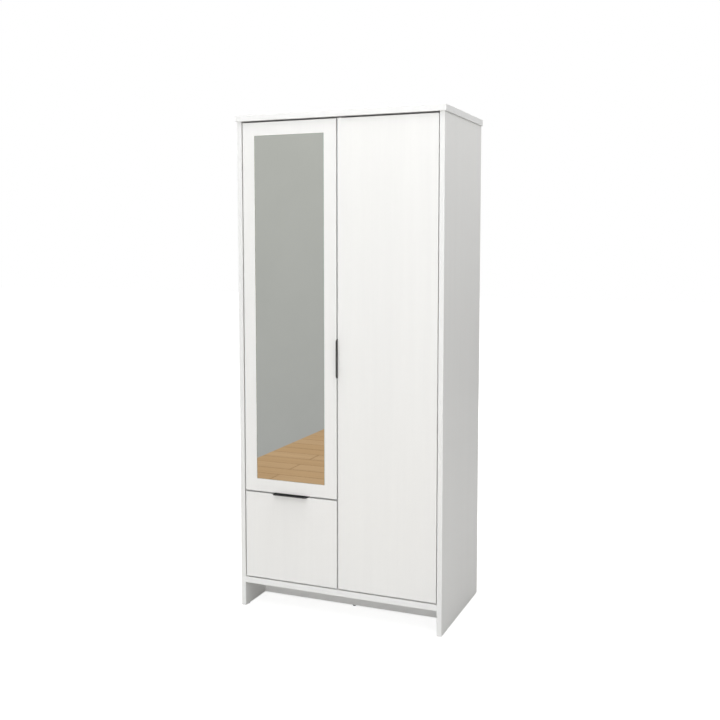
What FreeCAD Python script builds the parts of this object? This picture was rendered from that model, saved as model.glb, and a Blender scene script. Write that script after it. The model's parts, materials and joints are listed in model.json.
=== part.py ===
import FreeCAD, Part
import math
import os

from FreeCAD import Vector

# A free-standing wardrobe: a mirror door over a drawer on the left, a full-height door on the right.
# Millimetres. X runs to the right, Y to the back, Z up. The fronts face -Y.
# The origin is on the floor, in the middle of the width and of the whole depth, handles included.

# Carcass
body_width = 790.0
body_depth = 460.0
total_height = 1830.0
side_thickness = 18.0
top_thickness = 22.0
top_overhang = 5.0
bottom_thickness = 22.0
bottom_height = 93.0
plinth_setback = 155.0
plinth_thickness = 16.0
divider_thickness = 18.0
divider_clearance = 4.0
shelf_thickness = 18.0
fixed_shelf_clearance = 8.0
hat_space_height = 290.0

# Back panels, held in grooves and nailed on
back_thickness = 3.0
back_recess = 10.0
groove_width = 3.2
groove_depth = 7.0
groove_end_clearance = 1.0
back_centre_gap = 1.0
back_rise = 2.0
nail_length = 18.0
nail_radius = 0.8
nail_clearance = 0.1
nail_head_radius = 2.6
nail_head_height = 0.8
nail_pitch = 150.0
nail_bottom_share = 0.6

# Fronts, set in flush with the carcass
front_thickness = 18.0
left_gap = 5.0
right_gap = 3.0
centre_gap = 5.0
top_gap = 6.0
bottom_gap = 5.0
drawer_gap = 6.0
drawer_front_height = 323.0

# Edge bands
band_thickness = 1.0
band_round = 0.7

# Mirror
mirror_margin = 48.0
mirror_thickness = 3.0
mirror_reveal = 0.4
mirror_clearance = 0.5
tape_thickness = 1.0
tape_width = 25.0
tape_strips = 5

# Handle tabs, bent from sheet
tab_length = 140.0
tab_projection = 15.0
tab_thickness = 1.5
tab_flange = 26.0
tab_corner_radius = 11.0
tab_flange_corner_radius = 5.5
tab_bend_radius = 1.0
tab_centre_height = 959.0
tab_screw_spacing = 96.0
tab_screw_share = 0.55

# Adjustable shelves and their pins
shelf_count = 3
shelf_clearance = 16.0
shelf_back_gap = 5.0
shelf_end_clearance = 1.0
pin_pitch = 32.0
pin_radius = 2.5
pin_hole_clearance = 0.1
pin_hole_depth = 10.0
pin_seat_depth = 8.0
pin_reach = 8.0
pin_spoon_length = 9.0
pin_spoon_width = 10.0
pin_spoon_thickness = 1.6
pin_inset = 55.0
pin_row_margin = 160.0

# Hanging rail
rail_radius = 12.5
rail_wall = 1.2
rail_drop = 62.0
socket_base_radius = 24.0
socket_base_thickness = 3.0
socket_collar_wall = 2.5
socket_collar_depth = 13.0
socket_clearance = 0.3
socket_screw_circle = 19.0
socket_screw_angles = (90.0, 210.0, 330.0)

# Foot glides
glide_height = 4.0
glide_radius = 7.5
glide_round = 1.5
glide_nail_radius = 1.3
glide_nail_clearance = 0.1
glide_nail_length = 14.0
glide_inset = 32.0

# Concealed hinges, each turning on one pin
cup_radius = 17.5
cup_floor_clearance = 0.3
cup_wall = 1.0
cup_edge_distance = 4.5
cup_fit = 0.1
cup_flange_rim = 2.0
cup_flange_thickness = 1.0
cup_wing_width = 16.0
cup_wing_end = 6.5
cup_wing_round = 4.0
cup_wing_offset = 7.0
cup_screw_offset = 9.5
cup_screw_margin = 5.0
hinge_pin_radius = 1.2
hinge_pin_edge_distance = 10.0
hinge_pin_depth = 8.0
hinge_pin_clearance = 0.3
pin_fit = 0.05
ear_wall = 0.4
ear_clearance = 1.5
eye_radius = 2.2
arm_thickness = 2.0
arm_nose_width = 8.0
arm_width = 12.0
arm_corner_clearance = 1.9
arm_start_angle = 5.0
arm_overlap = 0.2
arm_tail = 26.0
plate_line_clearance = 34.0
plate_block_thickness = 2.3
plate_block_front = 16.0
plate_block_back = 22.0
plate_wing_thickness = 1.5
plate_wing_width = 14.0
plate_wing_length = 48.0
plate_wing_round = 4.5
plate_screw_spacing = 32.0
adjusting_screw_spacing = 20.0
adjusting_screw_radius = 2.0
adjusting_screw_clearance = 0.1
adjusting_screw_end_gap = 0.5
adjusting_head_radius = 3.6
adjusting_head_height = 1.6
adjusting_drive_depth = 1.0
hinge_end_distance = 100.0
right_door_hinges = 4

# Door bumpers on the divider's front edge
bumper_radius = 2.5
bumper_clearance = 0.3
bumper_end_distance = 45.0

# Drawer box
drawer_rear_clearance = 28.8
drawer_top_clearance = 54.0
drawer_side_thickness = 12.0
drawer_floor_clearance = 25.0
drawer_bottom_thickness = 3.0
drawer_groove_height = 10.0
drawer_groove_depth = 6.0
drawer_groove_clearance = 0.2
drawer_joint_shares = (0.25, 0.75)

# Roller runners
runner_gap = 12.5
runner_sheet = 1.2
runner_front_setback = 4.0
runner_flange = 9.0
track_clearance = 1.5
track_drop = 1.0
capture_setback = 2.8
capture_gap = 0.7
hook_clearance = 2.0
roller_radius = 7.7
roller_clearance = 0.3
roller_axle_radius = 2.0
roller_rivet_radius = 3.2
roller_rivet_height = 0.4
roller_end_distance = 12.0
carcass_roller_wall_space = 1.8
carcass_roller_inner_space = 2.3
drawer_roller_inner_space = 1.65
runner_wall_screw_shares = (0.2, 0.55, 0.9)
runner_box_screw_shares = (0.3, 0.7)

# Wall brackets
bracket_width = 20.0
bracket_leg = 40.0
bracket_sheet = 2.0
bracket_bend_radius = 1.2
bracket_hole_radius = 3.0
bracket_hole_drop = 27.0
bracket_spacing = 400.0
bracket_screw_shares = (0.25, 0.65)

# Cam fittings and dowels
cam_radius = 7.5
cam_distance = 24.0
cam_extra_depth = 3.5
cam_drive_depth = 1.75
cam_clearance = 0.1
bolt_thread_radius = 2.5
bolt_thread_length = 11.0
bolt_collar_radius = 3.3
bolt_neck_radius = 2.0
bolt_bore_radius = 3.6
dowel_radius = 4.0
dowel_length = 30.0
dowel_seat = 11.0
dowel_clearance = 0.1
fitting_inset = 60.0
dowel_spacing = 34.0

# Wood screws
screw_radius = 1.6
screw_length = 13.0
screw_head_radius = 3.3
screw_head_height = 1.5
screw_head_round = 0.9
screw_drive_depth = 0.9
screw_clearance = 0.1
drill_allowance = 1.0

# Sizes and places that follow from the ones above
y_front = -(body_depth - tab_projection) / 2.0
y_back = y_front + body_depth
z_top = total_height - top_thickness
z_floor = bottom_height + bottom_thickness
x_inner = body_width / 2.0 - side_thickness
x_divider = divider_thickness / 2.0
y_back_panel = y_back - back_recess - groove_width
y_front_back = y_front + front_thickness
y_divider = y_front_back + divider_clearance
y_fixed_shelf = y_front_back + fixed_shelf_clearance
y_shelf = y_front_back + shelf_clearance
z_door_top = z_top - top_gap
z_door_bottom = z_floor + bottom_gap
z_drawer_front_top = z_door_bottom + drawer_front_height
z_mirror_door_bottom = z_drawer_front_top + drawer_gap
z_drawer_shelf = z_drawer_front_top + drawer_gap / 2.0 - shelf_thickness / 2.0
z_hat_shelf = z_top - hat_space_height - shelf_thickness
door_width = (2.0 * x_inner - left_gap - centre_gap - right_gap) / 2.0
x_left_outer = -x_inner + left_gap
x_left_inner = x_left_outer + door_width
x_right_outer = x_inner - right_gap
x_right_inner = x_right_outer - door_width
z_drawer_side = z_floor + drawer_floor_clearance
drawer_side_height = z_drawer_shelf - drawer_top_clearance - z_drawer_side
drawer_depth = y_back_panel - y_front_back - drawer_rear_clearance
roller_width = runner_gap - 2.0 * runner_sheet - carcass_roller_wall_space - carcass_roller_inner_space
track_reach = runner_gap - runner_sheet - track_clearance
cup_depth = front_thickness - hinge_pin_depth + eye_radius + cup_floor_clearance + cup_wall
cup_screw_spacing = 2.0 * (cup_radius + cup_screw_margin)
cup_wing_length = cup_screw_spacing + 2.0 * cup_wing_end

X = Vector(1, 0, 0)
Y = Vector(0, 1, 0)
Z = Vector(0, 0, 1)
LARGE = 4.0 * total_height

pieces = {}
drillings = {}


def add(node, *solids):
    """Puts solids into a node. A node with several solids is a group of separate pieces."""
    pieces.setdefault(node, []).extend(solids)


def drill(node, *tools):
    """Notes solids that are taken out of a node when it is finished."""
    drillings.setdefault(node, []).extend(tools)


def box(x0, x1, y0, y1, z0, z1):
    """A box between the given planes, in any order."""
    low = Vector(min(x0, x1), min(y0, y1), min(z0, z1))
    return Part.makeBox(abs(x1 - x0), abs(y1 - y0), abs(z1 - z0), low)


def box_at(centre, size_vector):
    """A box about a centre. The size's signs don't matter."""
    half = Vector(abs(size_vector.x), abs(size_vector.y), abs(size_vector.z)) * 0.5
    low = centre - half
    high = centre + half
    return box(low.x, high.x, low.y, high.y, low.z, high.z)


def rod(start, direction, radius, length):
    return Part.makeCylinder(radius, length, start, direction)


def tube(start, direction, radius, bore, length):
    outer = rod(start, direction, radius, length)
    return outer.cut(rod(start - direction, direction, bore, length + 2.0))


def edges_along(solid, direction, where=None):
    """The straight edges that run along a direction, and that the test accepts."""
    found = []
    for edge in solid.Edges:
        if len(edge.Vertexes) != 2:
            continue
        run = edge.Vertexes[1].Point - edge.Vertexes[0].Point
        if run.cross(direction).Length < 1e-6 and (where is None or where(edge.CenterOfMass)):
            found.append(edge)
    return found


def rounded(solid, direction, radius, where=None):
    return solid.makeFillet(radius, edges_along(solid, direction, where))


def banded_board(node, band_node, x, y, z, bands):
    """A board with an edge band on each face named in bands, such as '-y'. The first ones run through."""
    bounds = [list(x), list(y), list(z)]
    sizes = [high - low for low, high in bounds]
    thin = sizes.index(min(sizes))
    for name in bands:
        axis = "xyz".index(name[1])
        side = 0 if name[0] == "-" else 1
        strip = [list(pair) for pair in bounds]
        outer = bounds[axis][side]
        inner = outer + (band_thickness if side == 0 else -band_thickness)
        strip[axis] = [outer, inner]
        solid = box(*strip[0], *strip[1], *strip[2])
        long_axis = (X, Y, Z)[3 - axis - thin]
        solid = rounded(solid, long_axis, band_round, lambda c: abs(c[axis] - outer) < 1e-6)
        add(band_node, solid)
        bounds[axis][side] = inner
    add(node, box(*bounds[0], *bounds[1], *bounds[2]))


def cross_recess(centre, direction, size, depth):
    """The tool of a crosshead drive that goes into a face, along a direction."""
    side = Z if abs(direction.z) < 0.5 else X
    other = direction.cross(side)
    blade = size / 4.0
    middle = centre + direction * (depth / 2.0)
    first = box_at(middle, direction * depth + side * size + other * blade)
    second = box_at(middle, direction * depth + side * blade + other * size)
    return first.fuse(second)


def screw(node, seat, direction, holders):
    """A pan-head wood screw that seats its head at a point, and its pilot hole in each holder."""
    head = rod(seat - direction * screw_head_height, direction, screw_head_radius, screw_head_height)
    rim = [edge for edge in head.Edges
           if edge.Curve.TypeId == "Part::GeomCircle"
           and (edge.CenterOfMass - seat).dot(direction) < -screw_head_height / 2.0]
    head = head.makeFillet(screw_head_round, rim)
    shank = rod(seat, direction, screw_radius, screw_length)
    top = seat - direction * screw_head_height
    drive = cross_recess(top, direction, screw_head_radius, screw_drive_depth)
    add(node, head.fuse(shank).cut(drive))
    start = seat - direction * drill_allowance
    length = screw_length + 2.0 * drill_allowance
    for holder in holders:
        drill(holder, rod(start, direction, screw_radius + screw_clearance, length))


def cam_joint(joint, toward, face, holder, receiver, thickness, locks, bolts):
    """A cam lock in the holder's face, and its bolt, which is screwed into the receiver."""
    depth = thickness / 2.0 + cam_extra_depth
    surface = joint - toward * cam_distance + face * (thickness / 2.0)
    pocket_start = surface + face * drill_allowance
    drill(holder, rod(pocket_start, -face, cam_radius + cam_clearance, depth + drill_allowance))
    drill(holder, rod(joint + toward * drill_allowance, -toward, bolt_bore_radius,
                      cam_distance + drill_allowance))
    drill(receiver, rod(joint - toward * drill_allowance, toward, bolt_thread_radius + cam_clearance,
                        bolt_thread_length + 2.0 * drill_allowance))
    lock = rod(surface, -face, cam_radius, depth)
    bolt_way = rod(joint, -toward, bolt_bore_radius, cam_distance + bolt_bore_radius)
    drive = cross_recess(surface, -face, cam_radius, cam_drive_depth)
    add(locks, lock.cut([bolt_way, drive]))
    neck_length = cam_distance - bolt_collar_radius
    thread = rod(joint, toward, bolt_thread_radius, bolt_thread_length)
    collar = rod(joint, -toward, bolt_collar_radius, bolt_thread_radius)
    neck = rod(joint, -toward, bolt_neck_radius, neck_length)
    head = rod(joint - toward * neck_length, -toward, bolt_collar_radius, bolt_collar_radius)
    add(bolts, thread.fuse([collar, neck, head]))


def dowel(joint, toward, holder, receiver):
    """A wooden dowel across the plane where the holder meets the receiver."""
    buried = dowel_length - dowel_seat
    add("dowels", rod(joint - toward * buried, toward, dowel_radius, dowel_length))
    hole = dowel_radius + dowel_clearance
    start = toward * drill_allowance
    drill(holder, rod(joint + start, -toward, hole, buried + 2.0 * drill_allowance))
    drill(receiver, rod(joint - start, toward, hole, dowel_seat + 2.0 * drill_allowance))


def board_joint(joint, toward, face, holder, receiver, thickness):
    """A cam fitting with a dowel beside it, further into the depth of the carcass."""
    cam_joint(joint, toward, face, holder, receiver, thickness, "cam_locks", "cam_bolts")
    inward = 1.0 if joint.y < (y_front + y_back) / 2.0 else -1.0
    dowel(joint + Y * (inward * dowel_spacing), toward, holder, receiver)


def make_carcass_boards():
    half = body_width / 2.0
    bands = "carcass_edge_bands"
    depth = (y_front, y_back)
    height = (glide_height, z_top)
    banded_board("left_side_panel", bands, (-half, -x_inner), depth, height, ["-y"])
    banded_board("right_side_panel", bands, (x_inner, half), depth, height, ["-y"])
    wide = half + top_overhang
    banded_board("top_panel", bands, (-wide, wide), (y_front - top_overhang, y_back),
                 (z_top, total_height), ["-y", "-x", "+x"])
    inner = (y_front, y_back_panel)
    banded_board("bottom_panel", bands, (-x_inner, x_inner), inner, (bottom_height, z_floor), ["-y"])
    banded_board("centre_divider", bands, (-x_divider, x_divider), (y_divider, y_back_panel),
                 (z_floor, z_top), ["-y"])
    fixed = (y_fixed_shelf, y_back_panel)
    banded_board("drawer_shelf", bands, (-x_inner, -x_divider), fixed,
                 (z_drawer_shelf, z_drawer_shelf + shelf_thickness), ["-y"])
    banded_board("hat_shelf", bands, (x_divider, x_inner), fixed,
                 (z_hat_shelf, z_hat_shelf + shelf_thickness), ["-y"])
    y_plinth = y_front + plinth_setback
    base = (glide_height, bottom_height)
    add("plinth_board", box(-x_inner, x_inner, y_plinth, y_plinth + plinth_thickness, *base))
    y_rear = y_back_panel - plinth_thickness
    add("rear_plinth_board", box(-x_inner, x_inner, y_rear, y_back_panel, *base))


def join_carcass_boards():
    z_low = bottom_height + bottom_thickness / 2.0
    z_drawer = z_drawer_shelf + shelf_thickness / 2.0
    z_hat = z_hat_shelf + shelf_thickness / 2.0
    x_side = x_inner + side_thickness / 2.0
    for y in (y_fixed_shelf + fitting_inset, y_back_panel - fitting_inset):
        joints = (
            # The sides and the divider carry the top.
            (-x_side, z_top, Z, X, "left_side_panel", "top_panel", side_thickness),
            (x_side, z_top, Z, -X, "right_side_panel", "top_panel", side_thickness),
            (0.0, z_top, Z, X, "centre_divider", "top_panel", divider_thickness),
            # The bottom hangs between the sides, and the divider stands on it.
            (-x_inner, z_low, -X, -Z, "bottom_panel", "left_side_panel", bottom_thickness),
            (x_inner, z_low, X, -Z, "bottom_panel", "right_side_panel", bottom_thickness),
            (0.0, z_floor, -Z, X, "centre_divider", "bottom_panel", divider_thickness),
            # The fixed shelves are held from below.
            (-x_inner, z_drawer, -X, -Z, "drawer_shelf", "left_side_panel", shelf_thickness),
            (-x_divider, z_drawer, X, -Z, "drawer_shelf", "centre_divider", shelf_thickness),
            (x_inner, z_hat, X, -Z, "hat_shelf", "right_side_panel", shelf_thickness),
            (x_divider, z_hat, -X, -Z, "hat_shelf", "centre_divider", shelf_thickness),
        )
        for x, z, toward, face, holder, receiver, thickness in joints:
            board_joint(Vector(x, y, z), toward, face, holder, receiver, thickness)
    z_base = (glide_height + bottom_height) / 2.0
    y_plinth = y_front + plinth_setback + plinth_thickness / 2.0
    y_rear = y_back_panel - plinth_thickness / 2.0
    for side, panel in ((-1, "left_side_panel"), (1, "right_side_panel")):
        for y, face, board in ((y_plinth, Y, "plinth_board"), (y_rear, -Y, "rear_plinth_board")):
            joint = Vector(side * x_inner, y, z_base)
            cam_joint(joint, X * side, face, board, panel, plinth_thickness, "cam_locks", "cam_bolts")
            for way in (-1.0, 1.0):
                dowel(joint + Z * (cam_distance * way), X * side, board, panel)


def make_back():
    """Two hardboard sheets in the grooves of the sides and the top, nailed on from behind."""
    in_groove = groove_depth - groove_end_clearance
    y0 = y_back_panel
    y1 = y_back_panel + back_thickness
    z0 = bottom_height + back_rise
    z1 = z_top + in_groove
    x_edge = x_inner + in_groove
    x_mid = back_centre_gap / 2.0
    add("back_panel_left", box(-x_edge, -x_mid, y0, y1, z0, z1))
    add("back_panel_right", box(x_mid, x_edge, y0, y1, z0, z1))
    groove = (y0, y0 + groove_width)
    for side, panel in ((-1, "left_side_panel"), (1, "right_side_panel")):
        drill(panel, box(side * (x_inner - drill_allowance), side * (x_inner + groove_depth), *groove,
                         z0 - groove_end_clearance, LARGE))
    reach = x_inner + groove_depth
    drill("top_panel", box(-reach, reach, *groove, z_top - drill_allowance, z_top + groove_depth))
    nail_back()


def nail(point, back, holder):
    seat = point + Y * back_thickness
    head = rod(seat, Y, nail_head_radius, nail_head_height)
    shank = rod(seat, -Y, nail_radius, nail_length)
    add("back_nails", head.fuse(shank))
    hole = rod(seat + Y * drill_allowance, -Y, nail_radius + nail_clearance,
               nail_length + 2.0 * drill_allowance)
    drill(back, hole)
    drill(holder, hole)


def nail_back():
    z_drawer = z_drawer_shelf + shelf_thickness / 2.0
    z_hat = z_hat_shelf + shelf_thickness / 2.0
    z_low = bottom_height + bottom_thickness * nail_bottom_share
    divider_edge = x_divider / 2.0 + back_centre_gap / 4.0
    for side, back in ((-1, "back_panel_left"), (1, "back_panel_right")):
        rows = int((z_top - z_floor) / nail_pitch)
        for row in range(1, rows):
            z = z_floor + (z_top - z_floor) * row / rows
            if min(abs(z - z_drawer), abs(z - z_hat)) > shelf_thickness:
                nail(Vector(side * divider_edge, y_back_panel, z), back, "centre_divider")
        shelf = (z_drawer, "drawer_shelf") if side < 0 else (z_hat, "hat_shelf")
        columns = max(2, int((x_inner - x_divider) / nail_pitch) + 1)
        for column in range(columns):
            x = x_divider + (x_inner - x_divider) * (column + 0.5) / columns
            nail(Vector(side * x, y_back_panel, z_low), back, "bottom_panel")
            nail(Vector(side * x, y_back_panel, shelf[0]), back, shelf[1])


def shelf_heights():
    """The undersides of the adjustable shelves: even spaces, moved to the nearest row of holes."""
    z0 = z_drawer_shelf + shelf_thickness
    space = (z_top - z0) / (shelf_count + 1)
    heights = []
    for number in range(shelf_count):
        row = round((space * (number + 1) - shelf_thickness - pin_row_margin) / pin_pitch)
        heights.append(z0 + pin_row_margin + row * pin_pitch)
    return heights


def make_adjustable_shelves():
    left = -x_inner + shelf_end_clearance
    right = -x_divider - shelf_end_clearance
    y_rear = y_back_panel - shelf_back_gap
    rows_y = (y_shelf + pin_inset, y_rear - pin_inset)
    for number, z in enumerate(shelf_heights()):
        banded_board("adjustable_shelf_%d" % (number + 1), "carcass_edge_bands", (left, right),
                     (y_shelf, y_rear), (z, z + shelf_thickness), ["-y"])
        for y in rows_y:
            shelf_pin(Vector(-x_inner, y, z - pin_radius), X)
            shelf_pin(Vector(-x_divider, y, z - pin_radius), -X)
    z = z_drawer_shelf + shelf_thickness + pin_row_margin - pin_radius
    hole = pin_radius + pin_hole_clearance
    rows_x = ((-x_inner, -X, pin_hole_depth, "left_side_panel"),
              (-x_divider, X, pin_seat_depth, "centre_divider"))
    while z < z_top - pin_row_margin:
        for y in rows_y:
            for x, outward, depth, panel in rows_x:
                start = Vector(x, y, z) - outward * drill_allowance
                drill(panel, rod(start, outward, hole, depth + drill_allowance))
        z += pin_pitch


def shelf_pin(face_point, outward):
    """A pin with a flat spoon that the shelf lies on."""
    half = pin_seat_depth - pin_hole_clearance * 2.0
    pin = rod(face_point - outward * half, outward, pin_radius, half + pin_reach)
    top = face_point.z + pin_radius
    end = face_point.x + outward.x * pin_spoon_length
    spoon = box(face_point.x, end, face_point.y - pin_spoon_width / 2.0,
                face_point.y + pin_spoon_width / 2.0, top - pin_spoon_thickness, top)
    add("shelf_pins", pin.fuse(spoon))


def make_hanging_rail():
    y = (y_fixed_shelf + y_back_panel) / 2.0
    z = z_hat_shelf - rail_drop
    left = Vector(x_divider, y, z)
    length = x_inner - x_divider - 2.0 * socket_base_thickness
    start = left + X * socket_base_thickness
    add("hanging_rail", tube(start, X, rail_radius, rail_radius - rail_wall, length))
    right = Vector(x_inner, y, z)
    for point, inward, panel in ((left, X, "centre_divider"), (right, -X, "right_side_panel")):
        bore = rail_radius + socket_clearance
        base = rod(point, inward, socket_base_radius, socket_base_thickness)
        collar = rod(point, inward, bore + socket_collar_wall, socket_base_thickness + socket_collar_depth)
        well = rod(point + inward * socket_base_thickness, inward, bore, LARGE)
        add("rail_sockets", base.fuse(collar).cut(well))
        for angle in socket_screw_angles:
            turn = math.radians(angle)
            offset = Y * math.cos(turn) + Z * math.sin(turn)
            seat = point + inward * socket_base_thickness + offset * socket_screw_circle
            screw("carcass_screws", seat, -inward, ["rail_sockets", panel])


def make_foot_glides():
    x_side = x_inner + side_thickness / 2.0
    y_plinth = y_front + plinth_setback + plinth_thickness / 2.0
    y_rear = y_back_panel - plinth_thickness / 2.0
    places = [(0.0, y_plinth, "plinth_board"), (0.0, y_rear, "rear_plinth_board")]
    for side, panel in ((-1, "left_side_panel"), (1, "right_side_panel")):
        for y in (y_front + glide_inset, y_back - glide_inset):
            places.append((side * x_side, y, panel))
    for x, y, panel in places:
        foot = Vector(x, y, 0)
        pad = rod(foot, Z, glide_radius, glide_height)
        rim = [edge for edge in pad.Edges if len(edge.Vertexes) == 1 and edge.CenterOfMass.z < 1e-6]
        pad = pad.makeFillet(glide_round, rim)
        add("foot_glides", pad.fuse(rod(foot, Z, glide_nail_radius, glide_height + glide_nail_length)))
        drill(panel, rod(foot, Z, glide_nail_radius + glide_nail_clearance,
                         glide_height + glide_nail_length + drill_allowance))


def make_wall_brackets():
    """Two angles under the top. A wall screw goes through each one and the back panel."""
    for side, back in ((-1, "back_panel_left"), (1, "back_panel_right")):
        x = side * bracket_spacing / 2.0
        half = bracket_width / 2.0
        y_near = y_back_panel - bracket_leg
        flat = box(x - half, x + half, y_near, y_back_panel, z_top - bracket_sheet, z_top)
        upright = box(x - half, x + half, y_back_panel - bracket_sheet, y_back_panel,
                      z_top - bracket_leg, z_top)
        angle = rounded(flat.fuse(upright).removeSplitter(), X, bracket_bend_radius,
                        lambda c: abs(c.y - y_back_panel + bracket_sheet) < 1e-6
                        and abs(c.z - z_top + bracket_sheet) < 1e-6)
        wall_hole = rod(Vector(x, y_back_panel + LARGE, z_top - bracket_hole_drop), -Y,
                        bracket_hole_radius, 2.0 * LARGE)
        add("wall_brackets", angle.cut(wall_hole))
        drill(back, wall_hole)
        for share in bracket_screw_shares:
            seat = Vector(x, y_near + bracket_leg * share, z_top - bracket_sheet)
            screw("carcass_screws", seat, Z, ["wall_brackets", "top_panel"])


def make_door_bumpers():
    length = divider_clearance - bumper_clearance
    doors = ((-x_divider, x_left_inner, z_mirror_door_bottom), (x_divider, x_right_inner, z_door_bottom))
    for face, edge, z_low in doors:
        for z in (z_low + bumper_end_distance, z_door_top - bumper_end_distance):
            start = Vector((face + edge) / 2.0, y_divider, z)
            pad = rod(start, -Y, bumper_radius, length)
            rim = [edge for edge in pad.Edges
                   if len(edge.Vertexes) == 1 and edge.CenterOfMass.y < y_divider - length / 2.0]
            add("door_bumpers", pad.makeFillet(length / 3.0, rim))


def front_board(node, x, z):
    banded_board(node, node.replace("_panel", "") + "_edge_bands", x, (y_front, y_front_back), z,
                 ["-x", "+x", "-z", "+z"])


def make_mirror_door():
    x0 = x_left_outer
    x1 = x_left_inner
    front_board("mirror_door_panel", (x0, x1), (z_mirror_door_bottom, z_door_top))
    left = x0 + mirror_margin
    right = x1 - mirror_margin
    low = z_mirror_door_bottom + mirror_margin
    high = z_door_top - mirror_margin
    y0 = y_front + mirror_reveal
    y1 = y0 + mirror_thickness
    y2 = y1 + tape_thickness
    c = mirror_clearance
    drill("mirror_door_panel", box(left - c, right + c, y_front - drill_allowance, y2, low - c, high + c))
    add("mirror_glass", box(left, right, y0, y1, low, high))
    for number in range(tape_strips):
        x = left + (right - left) * (number + 0.5) / tape_strips
        half = tape_width / 2.0
        add("mirror_tape", box(x - half, x + half, y1, y2, low + tape_width, high - tape_width))


def make_right_door():
    front_board("right_door_panel", (x_right_inner, x_right_outer), (z_door_bottom, z_door_top))
    edge = x_right_inner
    y0 = y_front - tab_projection
    y1 = y_front_back + tab_thickness
    half = tab_length / 2.0
    z0 = tab_centre_height - half
    z1 = tab_centre_height + half
    blade = box(edge - tab_thickness, edge, y0, y1, z0, z1)
    blade = rounded(blade, X, tab_corner_radius, lambda c: c.y < y_front)
    flange = box(edge - tab_thickness, edge + tab_flange, y_front_back, y1, z0, z1)
    flange = rounded(flange, Y, tab_flange_corner_radius, lambda c: c.x > edge)
    tab = blade.fuse(flange).removeSplitter()
    tab = rounded(tab, Z, tab_bend_radius, lambda c: abs(c.x - edge + tab_thickness) < 1e-6
                  and abs(c.y - y1) < 1e-6)
    add("right_door_handle", tab)
    for z in (-tab_screw_spacing / 2.0, tab_screw_spacing / 2.0):
        seat = Vector(edge + tab_flange * tab_screw_share, y1, tab_centre_height + z)
        screw("right_door_screws", seat, -Y, ["right_door_handle", "right_door_panel"])


def make_drawer_front():
    x0 = x_left_outer
    x1 = x_left_inner
    top = z_drawer_front_top
    front_board("drawer_front", (x0, x1), (z_door_bottom, top))
    middle = (x0 + x1) / 2.0
    half = tab_length / 2.0
    y0 = y_front - tab_projection
    y1 = y_front_back + tab_thickness
    blade = box(middle - half, middle + half, y0, y1, top, top + tab_thickness)
    blade = rounded(blade, Z, tab_corner_radius, lambda c: c.y < y_front)
    flange = box(middle - half, middle + half, y_front_back, y1, top - tab_flange, top + tab_thickness)
    flange = rounded(flange, Y, tab_flange_corner_radius, lambda c: c.z < top)
    tab = blade.fuse(flange).removeSplitter()
    tab = rounded(tab, X, tab_bend_radius, lambda c: abs(c.z - top - tab_thickness) < 1e-6
                  and abs(c.y - y1) < 1e-6)
    add("drawer_handle", tab)
    for x in (-tab_screw_spacing / 2.0, tab_screw_spacing / 2.0):
        seat = Vector(middle + x, y1, top - tab_flange * tab_screw_share)
        screw("drawer_screws", seat, -Y, ["drawer_handle", "drawer_front"])


def make_drawer_box():
    outer_left = -x_inner + runner_gap
    outer_right = -x_divider - runner_gap
    t = drawer_side_thickness
    y0 = y_front_back
    y1 = y0 + drawer_depth
    z0 = z_drawer_side
    z1 = z0 + drawer_side_height
    z_bottom = z0 + drawer_groove_height
    z_over = z_bottom + drawer_bottom_thickness
    add("drawer_side_left", box(outer_left, outer_left + t, y0, y1, z0, z1))
    add("drawer_side_right", box(outer_right - t, outer_right, y0, y1, z0, z1))
    add("drawer_back", box(outer_left + t, outer_right - t, y1 - t, y1, z_over, z1))
    d = drawer_groove_depth
    c = drawer_groove_clearance
    left = outer_left + t - d
    right = outer_right - t + d
    add("drawer_bottom", box(left + c, right - c, y0 - d + c, y1, z_bottom, z_over))
    groove = box(left, right, y0 - d, y1 + drill_allowance, z_bottom, z_over)
    for node in ("drawer_side_left", "drawer_side_right", "drawer_front"):
        drill(node, groove)
    for x, outward, side in ((outer_left, -X, "drawer_side_left"), (outer_right, X, "drawer_side_right")):
        centre = x - outward.x * t / 2.0
        for share in drawer_joint_shares:
            z = z0 + drawer_side_height * share
            cam_joint(Vector(centre, y0, z), -Y, -outward, side, "drawer_front", t,
                      "drawer_cam_locks", "drawer_cam_bolts")
            screw("drawer_screws", Vector(x, y1 - t / 2.0, z), -outward, [side, "drawer_back"])


def runner_levels():
    """The height of the runner's track, and of the rollers' centres."""
    track = z_drawer_side - track_drop
    return track, track + roller_radius + roller_clearance


def runner_member(node, point_x, inward, strips, y0, y1):
    """A folded-sheet runner: strips are boxes of the section, given from the mounting face inwards."""
    solids = []
    for near, far, low, high in strips:
        solids.append(box(point_x + inward * near, point_x + inward * far, y0, y1, low, high))
    body = solids[0].fuse(solids[1:]).removeSplitter()
    add(node, body)


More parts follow.
